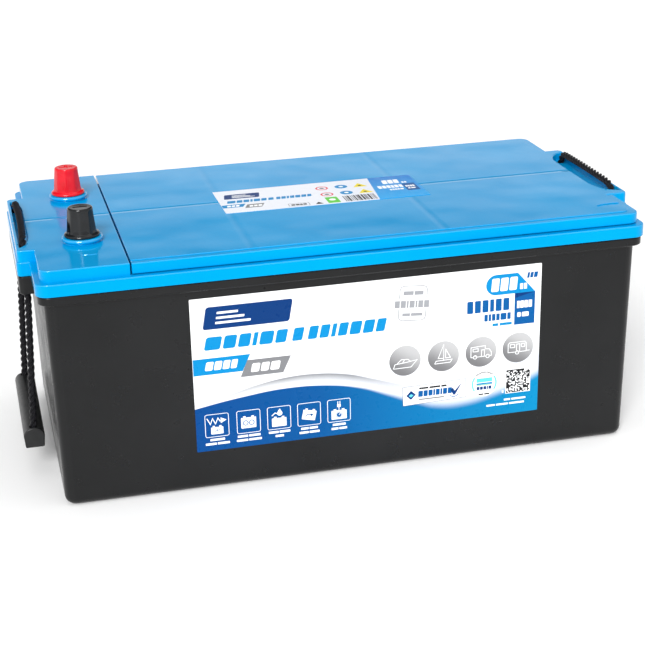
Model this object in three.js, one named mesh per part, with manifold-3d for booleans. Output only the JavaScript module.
// Deep cycle battery with rope handles, in millimetres, +Z up.
// The origin is on the floor under the middle of the case. +X is the long way, and both
// terminals stand at the -X end. The labelled long side faces -Y.

import * as THREE from "three";
import { mergeVertices } from "three/addons/utils/BufferGeometryUtils.js";
import Module from "manifold-3d";

const wasm = await Module();
wasm.setup();

// Driving dimensions of the whole case
const LENGTH = 518; // over the two end ledges
const WIDTH = 278; // over the lid's skirt
const HEIGHT = 230.5; // floor to the tops of the terminal caps
const GAP = 0.3; // between pieces that are welded, glued or seated on each other

// Heights of the lid's and container's features
const DECK_Z = 202.5; // top of the lid's terminal end
const COVER_Z = 203; // top of the welded cover
const RECESS_Z = 196; // floor of the scoop under each rope
const COVER_FOOT_Z = 193.5; // lower edge of the cover
const STEP_Z = 192.7; // top of the lid's skirt
const SKIRT_Z = 182.7; // lower edge of the lid's skirt
const LEDGE_Z = 181.2; // underside of the lid's end ledges
const FLANGE_Z = 175; // underside of the container's rim flange
const BRACKET_Z = 165.5; // underside of the container's end brackets
const FLOOR_T = 5; // thickness of the container's bottom

// Half sizes of the outlines, seen from above
const SKIRT = { x: LENGTH / 2 - 10, y: WIDTH / 2, r: 11 };
const DECK = { x: SKIRT.x - 4.5, y: SKIRT.y - 5.3, r: 9 };
const FLANGE = { x: SKIRT.x - 1.5, y: SKIRT.y - 1.5, r: 10 };
const WALL_TOP = { x: LENGTH / 2 - 16, y: WIDTH / 2 - 7.2, r: 9 };
const WALL_FOOT = { x: WALL_TOP.x - 3, y: WALL_TOP.y - 4.3 };
const LEDGE = { x: LENGTH / 2, y: 77, top: LENGTH / 2 - 1, r: 4 };
const COVER_X = -174.5; // the cover's left edge
const COVER_GROOVE = 1.5; // dark groove between the terminal end and the cover
const COVER_WALL = 4.5;
const COVER_ROOF = 3.5;

// Cells: two rows of three, joined in series round the long partition
const CELL = { x: 155, y: 121.5 };
const PARTITION = 3;
const COLUMNS = [-1, 0, 1].map((i) => i * (CELL.x + PARTITION));
const ROW_Y = (CELL.y + PARTITION) / 2;
const SERIES = [
  { column: 0, row: 1 },
  { column: 1, row: 1 },
  { column: 2, row: 1 },
  { column: 2, row: -1 },
  { column: 1, row: -1 },
  { column: 0, row: -1 },
];

// Plate stack of one cell
const POSITIVE_PLATES = 8;
const PLATE = { halfX: 72.6, z0: 10, z1: 148, positiveT: 4.2, negativeT: 3.4 };
const MAT_T = 2.2; // folded glass mat
const MAT = { halfX: 75.2, z0: 8, z1: 152 };
const STRAP = { inner: 47, outer: CELL.x / 2 - 2, halfY: 56, z0: 156, z1: 166 };
const LUG = { inner: 52, outer: 70 };
const WELD = { r: 4.7, z: 161, bite: 2 }; // bite: how far it reaches past each face of the wall

// Terminals
const TERMINAL_X = -205;
const POSITIVE = { y: 64, foot: 9.6, head: 8.8, bushing: 9.9 };
const NEGATIVE = { y: -64, foot: 8.8, head: 8.0, bushing: 9.1 };
const BOSS = { neck: 14.8, rim: 16.4, height: 4.4, bore: 12.9 };
const BOSS_Z = DECK_Z + BOSS.height;
const BUSHING = { r: 12.6, z0: 195 };
const POST_TOP_Z = 225.5;
const POST_STEM_R = 8;
const CAP = { flange: 14.3, flangeT: 2.2, foot: 12, head: 10.1, bore: 10.2, boreTop: 9.2, roof: 3.2 };
const CAP_Z = BOSS_Z + GAP;

// Rope handles
const ROPE_R = 3;
const ROPE = { x: 252, y: 59, hole: 4.3 };
const PIVOT_Z = 158; // where the strands leave the bracket and start to swing
const STRAND_FOOT = { x: 258.2, z: 38.3 }; // the strand's lower end in the grip
const GRIP = { x: 258, halfY: 64, halfX: 8.7, z0: 27, z1: 44.5, socketR: 3.4, socketZ: 38 };

// The rope's way over a ledge: distance from the centre along X, place along Y and height
const ROPE_OVER_LEDGE = [
  [252, 59, 161.3],
  [252, 59, 177],
  [252, 59, 193.5],
  [252, 58.1, 198.1],
  [252, 55.5, 202],
  [251.7, 51.6, 204.6],
  [251.4, 47, 205.6],
  [251, 35, 206.2],
  [250.6, 18, 206.6],
  [250.5, 0, 206.8],
  [250.6, -18, 206.6],
  [251, -35, 206.2],
  [251.4, -47, 205.6],
  [251.7, -51.6, 204.6],
  [252, -55.5, 202],
  [252, -58.1, 198.1],
  [252, -59, 193.5],
  [252, -59, 177],
  [252, -59, 161.3],
];

// Valves, arrestors and labels
const SPIGOT = { x: 150, y: 58, r: 7, bore: 5, z0: 187, z1: 193.5 };
const WELL_Z = 187; // sunken floor of the lid under the cover
const WELL_T = 2.5;
const WELL = { x0: -167, x1: 233, y: 124 };
const VALVE = { r: 9, bore: 7.3, z0: 188, z1: 196 };
const ARRESTOR = { y: 108, r: 9, ring: 11.5, z0: 195.2, z1: 198.9 };
const ARRESTORS = [
  { name: "left_flame_arrestor", x: -120 },
  { name: "right_flame_arrestor", x: 195 },
];
const OUTLET = { halfX: 1, z0: 200, z1: 201.8 }; // gas duct from an arrestor to the cover's rear face
const FRONT_LABEL = { x0: -132, x1: 160, z0: 34.5, z1: 167, t: 0.4 };
const TOP_LABEL = { x0: -82, x1: 97, y0: -29.5, y1: 37.5, t: 0.4 };

const MATERIALS = {
  container: plastic(0x1c1d1f, 0.5),
  lid: plastic(0x0a9bea, 0.3),
  red: plastic(0xd81430, 0.35),
  black: plastic(0x14171a, 0.4),
  rope: plastic(0x0d0e12, 0.85),
  label: plastic(0xf2f4f6, 0.35),
  rubber: plastic(0x202020, 0.8),
  lead: new THREE.MeshStandardMaterial({ color: 0x8b8f94, roughness: 0.45, metalness: 0.9 }),
  positivePlate: plastic(0x4a2c22, 0.9),
  negativePlate: plastic(0x6d7074, 0.85),
  mat: plastic(0xe9e7e0, 0.95),
  frit: plastic(0xb9b6ad, 0.9),
};

function plastic(color, roughness) {
  return new THREE.MeshStandardMaterial({ color, roughness, metalness: 0 });
}

const battery = new THREE.Group();

function add(name, geometry, material) {
  const mesh = new THREE.Mesh(geometry, material);
  mesh.name = name;
  battery.add(mesh);
  return mesh;
}

// ---- joining and cutting -------------------------------------------------------------

function solidOf(geometry) {
  const bare = new THREE.BufferGeometry();
  bare.setAttribute("position", geometry.getAttribute("position"));
  bare.setIndex(geometry.getIndex());
  const merged = mergeVertices(bare, 1e-4);
  const mesh = new wasm.Mesh({
    numProp: 3,
    vertProperties: new Float32Array(merged.attributes.position.array),
    triVerts: new Uint32Array(merged.index.array),
  });
  return new wasm.Manifold(mesh);
}

function geometryOf(solid) {
  const mesh = solid.getMesh();
  const geometry = new THREE.BufferGeometry();
  geometry.setAttribute("position", new THREE.BufferAttribute(mesh.vertProperties, 3));
  geometry.setIndex(new THREE.BufferAttribute(mesh.triVerts, 1));
  return geometry;
}

// Joins the geometries in adds, then cuts those in cuts away.
function shaped(adds, cuts = []) {
  let solid = solidOf(adds[0]);
  for (const extra of adds.slice(1)) solid = solid.add(solidOf(extra));
  for (const cut of cuts) solid = solid.subtract(solidOf(cut));
  return geometryOf(solid);
}

// ---- basic forms ---------------------------------------------------------------------

function sorted(a, b) {
  return a < b ? [a, b] : [b, a];
}

function block(x0, x1, y0, y1, z0, z1) {
  const box = new THREE.BoxGeometry(x1 - x0, y1 - y0, z1 - z0);
  return box.translate((x0 + x1) / 2, (y0 + y1) / 2, (z0 + z1) / 2);
}

// An outline from x0 to x1 and -y to y, with corner radii on its left and right ends.
function outline(x0, x1, y, leftR, rightR) {
  const shape = new THREE.Shape();
  shape.moveTo(x0 + leftR, -y);
  shape.lineTo(x1 - rightR, -y);
  if (rightR > 0) shape.absarc(x1 - rightR, -y + rightR, rightR, -Math.PI / 2, 0);
  shape.lineTo(x1, y - rightR);
  if (rightR > 0) shape.absarc(x1 - rightR, y - rightR, rightR, 0, Math.PI / 2);
  shape.lineTo(x0 + leftR, y);
  if (leftR > 0) shape.absarc(x0 + leftR, y - leftR, leftR, Math.PI / 2, Math.PI);
  shape.lineTo(x0, -y + leftR);
  if (leftR > 0) shape.absarc(x0 + leftR, -y + leftR, leftR, Math.PI, 1.5 * Math.PI);
  return shape;
}

// The outline of an end ledge, whose two outer corners are round.
function ledgeOutline(side, inner, outer, y) {
  if (side < 0) return outline(-outer, -inner, y, LEDGE.r, 0);
  return outline(inner, outer, y, 0, LEDGE.r);
}

function slab(shape, z0, z1) {
  const extruded = new THREE.ExtrudeGeometry(shape, {
    depth: z1 - z0,
    bevelEnabled: false,
    curveSegments: 4,
  });
  return extruded.translate(0, 0, z0);
}

function drum(x, y, r, z0, z1, sides) {
  const cylinder = new THREE.CylinderGeometry(r, r, z1 - z0, sides);
  return cylinder.rotateX(Math.PI / 2).translate(x, y, (z0 + z1) / 2);
}

// Turns a profile of [radius, height] pairs about a vertical axis at (x, y).
function turned(profile, x, y, sides) {
  const points = profile.map(([r, z]) => new THREE.Vector2(r, z));
  return new THREE.LatheGeometry(points, sides).rotateX(Math.PI / 2).translate(x, y, 0);
}

// The two ends of the case, which mirror each other.
const ENDS = [
  { side: -1, name: "left" },
  { side: 1, name: "right" },
];

function ropeHoles(side, z0, z1) {
  return [-1, 1].map((s) => drum(side * ROPE.x, s * ROPE.y, ROPE.hole, z0, z1, 14));
}

// The scoop that leaves room for fingers under the rope, bulging towards the middle. The left
// one stays under the rope, and the right one reaches further in.
function ropeRecess(side) {
  const outer = side * 255.5;
  const inner = side * (side < 0 ? 246.5 : 238.5);
  const bend = 0.56 * outer + 0.44 * inner;
  const shape = new THREE.Shape();
  shape.moveTo(outer, -68);
  shape.lineTo(outer, 68);
  shape.bezierCurveTo(bend, 66, inner, 56, inner, 36);
  shape.lineTo(inner, -36);
  shape.bezierCurveTo(inner, -56, bend, -66, outer, -68);
  return slab(shape, RECESS_Z, HEIGHT);
}

// ---- container -----------------------------------------------------------------------

function containerWall() {
  const wall = slab(outline(-WALL_TOP.x, WALL_TOP.x, WALL_TOP.y, WALL_TOP.r, WALL_TOP.r), 0, SKIRT_Z - GAP);
  const position = wall.getAttribute("position");
  for (let i = 0; i < position.count; i++) {
    const drop = 1 - Math.min(position.getZ(i) / FLANGE_Z, 1);
    position.setX(i, position.getX(i) * (1 - drop * (1 - WALL_FOOT.x / WALL_TOP.x)));
    position.setY(i, position.getY(i) * (1 - drop * (1 - WALL_FOOT.y / WALL_TOP.y)));
  }
  return wall;
}

function cellCavities() {
  return SERIES.map(({ column, row }) => {
    const x = COLUMNS[column];
    const y = row * ROW_Y;
    return block(x - CELL.x / 2, x + CELL.x / 2, y - CELL.y / 2, y + CELL.y / 2, FLOOR_T, HEIGHT);
  });
}

// Where each pair of neighbouring cells is welded through its partition.
function weldPlaces() {
  const across = COLUMNS[1] + (CELL.x + PARTITION) / 2;
  const end = COLUMNS[2] + (STRAP.inner + STRAP.outer) / 2;
  return [
    { x: -across, y: ROW_Y, along: "x" },
    { x: across, y: ROW_Y, along: "x" },
    { x: end, y: 0, along: "y" },
    { x: across, y: -ROW_Y, along: "x" },
    { x: -across, y: -ROW_Y, along: "x" },
  ];
}

function weldPin({ x, y, along }, r, halfLength) {
  const pin = new THREE.CylinderGeometry(r, r, 2 * halfLength, 14);
  if (along === "x") pin.rotateZ(Math.PI / 2);
  return pin.translate(x, y, WELD.z);
}

function container() {
  const flange = outline(-FLANGE.x, FLANGE.x, FLANGE.y, FLANGE.r, FLANGE.r);
  const brackets = ENDS.map(({ side }) => {
    const plan = ledgeOutline(side, 238, LEDGE.x - 0.5, LEDGE.y - 0.5);
    return slab(plan, BRACKET_Z, LEDGE_Z - GAP);
  });
  return shaped(
    [containerWall(), slab(flange, FLANGE_Z, SKIRT_Z - GAP), ...brackets],
    [
      ...cellCavities(),
      ...ENDS.flatMap(({ side }) => ropeHoles(side, BRACKET_Z - 1, LEDGE_Z + 1)),
      ...weldPlaces().map((place) => weldPin(place, WELD.r + GAP, PARTITION)),
    ],
  );
}

// ---- lid and cover -------------------------------------------------------------------

function boss(y) {
  const rim = BOSS.rim;
  return turned(
    [
      [0, DECK_Z - 2],
      [BOSS.neck, DECK_Z - 2],
      [BOSS.neck, DECK_Z + 0.4],
      [rim - 0.5, DECK_Z + 1.2],
      [rim, DECK_Z + 2.4],
      [rim - 0.4, BOSS_Z - 0.7],
      [rim - 1.4, BOSS_Z],
      [0, BOSS_Z],
    ],
    TERMINAL_X,
    y,
    20,
  );
}

function lid() {
  const terminalEnd = outline(-DECK.x, COVER_X - COVER_GROOVE, DECK.y, DECK.r, 0);
  const ledges = ENDS.flatMap(({ side }) => [
    slab(ledgeOutline(side, 240, LEDGE.x, LEDGE.y), SKIRT_Z, STEP_Z),
    slab(ledgeOutline(side, FLANGE.x + 0.7, LEDGE.x, LEDGE.y), LEDGE_Z, SKIRT_Z + 1),
  ]);
  const leftTop = ledgeOutline(-1, 236, LEDGE.top, LEDGE.y - 0.5);
  const pocketTop = (column) => (column === 0 ? DECK_Z - 4 : WELL_Z - WELL_T);
  const inset = 3;
  const pockets = SERIES.map(({ column, row }) => {
    const x = COLUMNS[column];
    const y = row * ROW_Y;
    const x0 = x - CELL.x / 2 + inset;
    const x1 = column === 0 ? COVER_X - 6 : x + CELL.x / 2 - inset;
    const y0 = y - CELL.y / 2 + inset;
    const y1 = y + CELL.y / 2 - inset;
    return block(x0, x1, y0, y1, LEDGE_Z - 1, pocketTop(column));
  });
  const belowWell = [1, -1].map((row) => {
    const y = row * ROW_Y;
    const x1 = COLUMNS[0] + CELL.x / 2 - inset;
    const halfY = CELL.y / 2 - inset;
    return block(COVER_X - 7, x1, y - halfY, y + halfY, LEDGE_Z - 1, WELL_Z - WELL_T);
  });
  const well = slab(outline(WELL.x0, WELL.x1, WELL.y, 5, 5), WELL_Z, STEP_Z + 1);
  const rib = { out: 2.2, in: 4.2, top: COVER_FOOT_Z - GAP };
  const ribRing = shaped(
    [slab(outline(COVER_X + rib.out, DECK.x - rib.out, DECK.y - rib.out, 3, 6), STEP_Z - 1, rib.top)],
    [slab(outline(COVER_X + rib.in, DECK.x - rib.in, DECK.y - rib.in, 3, 6), STEP_Z - 2, rib.top + 1)],
  );
  const base = shaped(
    [
      slab(outline(-SKIRT.x, SKIRT.x, SKIRT.y, SKIRT.r, SKIRT.r), SKIRT_Z, STEP_Z),
      ...ledges,
      slab(terminalEnd, STEP_Z - 1, DECK_Z),
      slab(leftTop, STEP_Z - 1, DECK_Z),
      boss(POSITIVE.y),
      boss(NEGATIVE.y),
      ribRing,
    ],
    [
      well,
      ...pockets,
      ...belowWell,
      ropeRecess(-1),
      ...ENDS.flatMap(({ side }) => ropeHoles(side, LEDGE_Z - 1, DECK_Z + 1)),
      ...[POSITIVE, NEGATIVE].map(({ y }) => drum(TERMINAL_X, y, BOSS.bore, SKIRT_Z, BOSS_Z + 1, 20)),
    ],
  );
  const spigots = valvePlaces().map(({ x, y }) => drum(x, y, SPIGOT.r, WELL_Z - 1, SPIGOT.z1, 12));
  const bores = valvePlaces().map(({ x, y }) => drum(x, y, SPIGOT.bore, SKIRT_Z - 1, SPIGOT.z1 + 1, 12));
  return shaped([base, ...spigots], bores);
}

function topCover() {
  const plan = outline(COVER_X, DECK.x, DECK.y, 0.8, DECK.r);
  const ledge = ledgeOutline(1, 236, LEDGE.top, LEDGE.y - 0.5);
  const inside = outline(COVER_X + COVER_WALL, 234, DECK.y - COVER_WALL, 3, 3);
  const arrestorRings = ARRESTORS.map(({ x }) =>
    drum(x, ARRESTOR.y, ARRESTOR.ring, ARRESTOR.z0, COVER_Z - COVER_ROOF + 1, 16),
  );
  const arrestorSeats = ARRESTORS.map(({ x }) =>
    drum(x, ARRESTOR.y, ARRESTOR.r + GAP, ARRESTOR.z0 - 1, ARRESTOR.z1 + GAP, 16),
  );
  const outlets = ARRESTORS.flatMap(({ x }) => [
    drum(x, ARRESTOR.y, 1.2, ARRESTOR.z1, OUTLET.z1, 8),
    block(x - OUTLET.halfX, x + OUTLET.halfX, ARRESTOR.y - 1, SKIRT.y, OUTLET.z0, OUTLET.z1),
  ]);
  const shell = shaped(
    [slab(plan, COVER_FOOT_Z, COVER_Z), slab(ledge, COVER_FOOT_Z, COVER_Z)],
    [slab(inside, COVER_FOOT_Z - 1, COVER_Z - COVER_ROOF), ropeRecess(1), ...ropeHoles(1, STEP_Z, COVER_Z)],
  );
  return shaped([shell, ...arrestorRings], [...arrestorSeats, ...outlets]);
}

// ---- valves and flame arrestors ------------------------------------------------------

function valvePlaces() {
  const columns = [-SPIGOT.x, 0, SPIGOT.x];
  return SERIES.map(({ column, row }) => ({ x: columns[column], y: row * SPIGOT.y }));
}

function ventValve({ x, y }) {
  const roof = SPIGOT.z1 + GAP;
  return turned(
    [
      [0, roof],
      [VALVE.bore, roof],
      [VALVE.bore, VALVE.z0],
      [VALVE.r, VALVE.z0],
      [VALVE.r, VALVE.z1 - 1],
      [VALVE.r - 1, VALVE.z1],
      [0, VALVE.z1],
    ],
    x,
    y,
    12,
  );
}

// ---- cells ---------------------------------------------------------------------------

// Place along Y and thickness of every plate of a stack, the outermost ones negative.
function plateStack() {
  const plates = [];
  let y = 0;
  for (let i = 0; i < 2 * POSITIVE_PLATES + 1; i++) {
    const positive = i % 2 === 1;
    const t = positive ? PLATE.positiveT : PLATE.negativeT;
    plates.push({ positive, t, y: y + t / 2 });
    y += t + MAT_T + 2 * GAP;
  }
  const middle = (plates[0].y + plates.at(-1).y) / 2;
  return plates.map((plate) => ({ ...plate, y: plate.y - middle }));
}

// One plate with its lug: side is +1 where the lug stands at the +X edge.
function plateWithLug({ y, t }, side) {
  const [lug0, lug1] = sorted(side * LUG.inner, side * LUG.outer);
  const shape = new THREE.Shape();
  shape.moveTo(-PLATE.halfX, PLATE.z0);
  shape.lineTo(PLATE.halfX, PLATE.z0);
  shape.lineTo(PLATE.halfX, PLATE.z1);
  shape.lineTo(lug1, PLATE.z1);
  shape.lineTo(lug1, STRAP.z0 + 2);
  shape.lineTo(lug0, STRAP.z0 + 2);
  shape.lineTo(lug0, PLATE.z1);
  shape.lineTo(-PLATE.halfX, PLATE.z1);
  const extruded = new THREE.ExtrudeGeometry(shape, { depth: t, bevelEnabled: false });
  return extruded.rotateX(Math.PI / 2).translate(0, y + t / 2, 0);
}

// All plates of one polarity in a cell, cast together by a strap along their lugs.
function plateGroup(cell, positive) {
  const side = positive === (cell.row > 0) ? -1 : 1;
  const plates = plateStack().filter((plate) => plate.positive === positive);
  const [x0, x1] = sorted(side * STRAP.inner, side * STRAP.outer);
  const straps = [block(x0, x1, -STRAP.halfY, STRAP.halfY, STRAP.z0, STRAP.z1)];
  if (cell.column === 2 && side > 0) {
    const reach = -cell.row * (CELL.y / 2 - WELD.bite);
    straps.push(block(x0, x1, ...sorted(0, reach), STRAP.z0, STRAP.z1));
  }
  const group = shaped([...straps, ...plates.map((plate) => plateWithLug(plate, side))]);
  return group.translate(COLUMNS[cell.column], cell.row * ROW_Y, 0);
}

// The glass mat is one strip folded to and fro between the plates.
function foldedMat(cell) {
  const plates = plateStack();
  const step = MAT_T / 2 + GAP;
  const runs = plates.map((plate) => plate.y - plate.t / 2 - step);
  runs.push(plates.at(-1).y + plates.at(-1).t / 2 + step);
  const turn = MAT.halfX - MAT_T / 2;
  const centre = runs.flatMap((y, i) => {
    const first = i % 2 === 0 ? -turn : turn;
    return [new THREE.Vector2(first, y), new THREE.Vector2(-first, y)];
  });
  const normals = centre.slice(1).map((point, i) => {
    const along = point.clone().sub(centre[i]).normalize();
    return new THREE.Vector2(-along.y, along.x);
  });
  const edge = (sign) =>
    centre.map((point, i) => {
      const shift = new THREE.Vector2();
      if (i > 0) shift.add(normals[i - 1]);
      if (i < normals.length) shift.add(normals[i]);
      return point.clone().addScaledVector(shift, (sign * MAT_T) / 2);
    });
  const shape = new THREE.Shape([...edge(1), ...edge(-1).reverse()]);
  return slab(shape, MAT.z0, MAT.z1).translate(COLUMNS[cell.column], cell.row * ROW_Y, 0);
}

// ---- terminals -----------------------------------------------------------------------

function bushing({ y, bushing: bore }) {
  return turned(
    [
      [bore, BUSHING.z0],
      [BUSHING.r, BUSHING.z0],
      [BUSHING.r, BOSS_Z],
      [bore, BOSS_Z],
      [bore, BUSHING.z0],
    ],
    TERMINAL_X,
    y,
    20,
  );
}

function post({ y, foot, head }) {
  const base = STRAP.z1 + GAP;
  const pad = block(TERMINAL_X - 26, TERMINAL_X + 9, y - 12, y + 12, base, base + 6);
  const stem = turned(
    [
      [0, base + 1],
      [POST_STEM_R, base + 1],
      [POST_STEM_R, BUSHING.z0 + 2],
      [foot, BUSHING.z0 + 5],
      [foot, BOSS_Z],
      [head, POST_TOP_Z - 0.8],
      [head - 0.8, POST_TOP_Z],
      [0, POST_TOP_Z],
    ],
    TERMINAL_X,
    y,
    20,
  );
  return shaped([pad, stem]);
}

function terminalCap({ y }) {
  const roof = HEIGHT - CAP.roof;
  return turned(
    [
      [0, roof],
      [CAP.boreTop, roof],
      [CAP.bore, CAP_Z],
      [CAP.flange - 0.4, CAP_Z],
      [CAP.flange, CAP_Z + 0.6],
      [CAP.flange - 0.5, CAP_Z + CAP.flangeT],
      [CAP.foot, CAP_Z + CAP.flangeT + 0.8],
      [CAP.head, HEIGHT - 1.4],
      [CAP.head - 1.2, HEIGHT],
      [0, HEIGHT],
    ],
    TERMINAL_X,
    y,
    20,
  );
}

// ---- rope handles --------------------------------------------------------------------

function ropeBridge(side) {
  const points = ROPE_OVER_LEDGE.map(([x, y, z]) => new THREE.Vector3(side * x, y, z));
  const section = new THREE.Shape();
  section.absarc(0, 0, ROPE_R, 0, 2 * Math.PI);
  return new THREE.ExtrudeGeometry(section, {
    steps: 28,
    curveSegments: 4,
    bevelEnabled: false,
    extrudePath: new THREE.CatmullRomCurve3(points),
  });
}

// A hanging strand. Its round top end is centred on the point where it starts to swing.
function ropeStrand(side, y) {
  const lean = Math.atan2(STRAND_FOOT.x - ROPE.x, PIVOT_Z - STRAND_FOOT.z);
  const length = Math.hypot(STRAND_FOOT.x - ROPE.x, PIVOT_Z - STRAND_FOOT.z);
  const profile = [[0, -length], [ROPE_R, -length]];
  for (const degrees of [0, 30, 60]) {
    const a = THREE.MathUtils.degToRad(degrees);
    profile.push([ROPE_R * Math.cos(a), ROPE_R * Math.sin(a)]);
  }
  profile.push([0, ROPE_R]);
  const strand = turned(profile, 0, 0, 10);
  return strand.rotateY(-side * lean).translate(side * ROPE.x, y, PIVOT_Z);
}

function grip(side) {
  const { halfX, z0, z1, halfY } = GRIP;
  const shoulder = z1 - 7;
  const shape = new THREE.Shape();
  shape.moveTo(-halfX + 2, z0);
  shape.lineTo(halfX - 2, z0);
  shape.lineTo(halfX - 1, z0 + 1);
  shape.lineTo(halfX, shoulder);
  shape.bezierCurveTo(halfX - 0.6, z1 - 2, halfX * 0.5, z1, 0, z1);
  shape.bezierCurveTo(-halfX * 0.5, z1, -halfX + 0.6, z1 - 2, -halfX, shoulder);
  shape.lineTo(-halfX + 1, z0 + 1);
  const bar = new THREE.ExtrudeGeometry(shape, {
    depth: 2 * halfY,
    bevelEnabled: false,
    curveSegments: 5,
  });
  bar.rotateX(Math.PI / 2).translate(side * GRIP.x, halfY, 0);
  const sockets = [-1, 1].map((s) =>
    drum(side * STRAND_FOOT.x, s * ROPE.y, GRIP.socketR, GRIP.socketZ, z1 + 2, 12),
  );
  return shaped([bar], sockets);
}

// ---- labels --------------------------------------------------------------------------

function frontLabel() {
  const { x0, x1, z0, z1, t } = FRONT_LABEL;
  const slope = Math.atan2(WALL_TOP.y - WALL_FOOT.y, FLANGE_Z);
  const middle = (z0 + z1) / 2;
  const wallY = WALL_FOOT.y + ((WALL_TOP.y - WALL_FOOT.y) * middle) / FLANGE_Z;
  const film = new THREE.BoxGeometry(x1 - x0, t, z1 - z0);
  return film.rotateX(slope).translate((x0 + x1) / 2, -wallY - GAP - t / 2, middle);
}

function topLabel() {
  const { x0, x1, y0, y1, t } = TOP_LABEL;
  return block(x0, x1, y0, y1, COVER_Z + GAP, COVER_Z + GAP + t);
}

// ---- assembly ------------------------------------------------------------------------

add("container", container(), MATERIALS.container);
add("lid", lid(), MATERIALS.lid);
add("top_cover", topCover(), MATERIALS.lid);
add("positive_cap", terminalCap(POSITIVE), MATERIALS.red);
add("negative_cap", terminalCap(NEGATIVE), MATERIALS.black);
add("positive_post", post(POSITIVE), MATERIALS.lead);
add("negative_post", post(NEGATIVE), MATERIALS.lead);
add("positive_bushing", bushing(POSITIVE), MATERIALS.lead);
add("negative_bushing", bushing(NEGATIVE), MATERIALS.lead);
add("front_label", frontLabel(), MATERIALS.label);
add("top_label", topLabel(), MATERIALS.label);

for (const { side, name } of ENDS) {
  add(`${name}_grip`, grip(side), MATERIALS.black);
  add(`${name}_rope_bridge`, ropeBridge(side), MATERIALS.rope);
  add(`${name}_front_strand`, ropeStrand(side, -ROPE.y), MATERIALS.rope);
  add(`${name}_rear_strand`, ropeStrand(side, ROPE.y), MATERIALS.rope);
}

SERIES.forEach((cell, i) => {
  add(`cell_${i + 1}_positive_plates`, plateGroup(cell, true), MATERIALS.positivePlate);
  add(`cell_${i + 1}_negative_plates`, plateGroup(cell, false), MATERIALS.negativePlate);
  add(`cell_${i + 1}_separator`, foldedMat(cell), MATERIALS.mat);
});

weldPlaces().forEach((place, i) => {
  add(`intercell_weld_${i + 1}`, weldPin(place, WELD.r, PARTITION / 2 + WELD.bite - GAP), MATERIALS.lead);
});

valvePlaces().forEach((place, i) => {
  add(`vent_valve_${i + 1}`, ventValve(place), MATERIALS.rubber);
});

for (const { name, x } of ARRESTORS) {
  add(name, drum(x, ARRESTOR.y, ARRESTOR.r, ARRESTOR.z0, ARRESTOR.z1, 16), MATERIALS.frit);
}

export default battery;
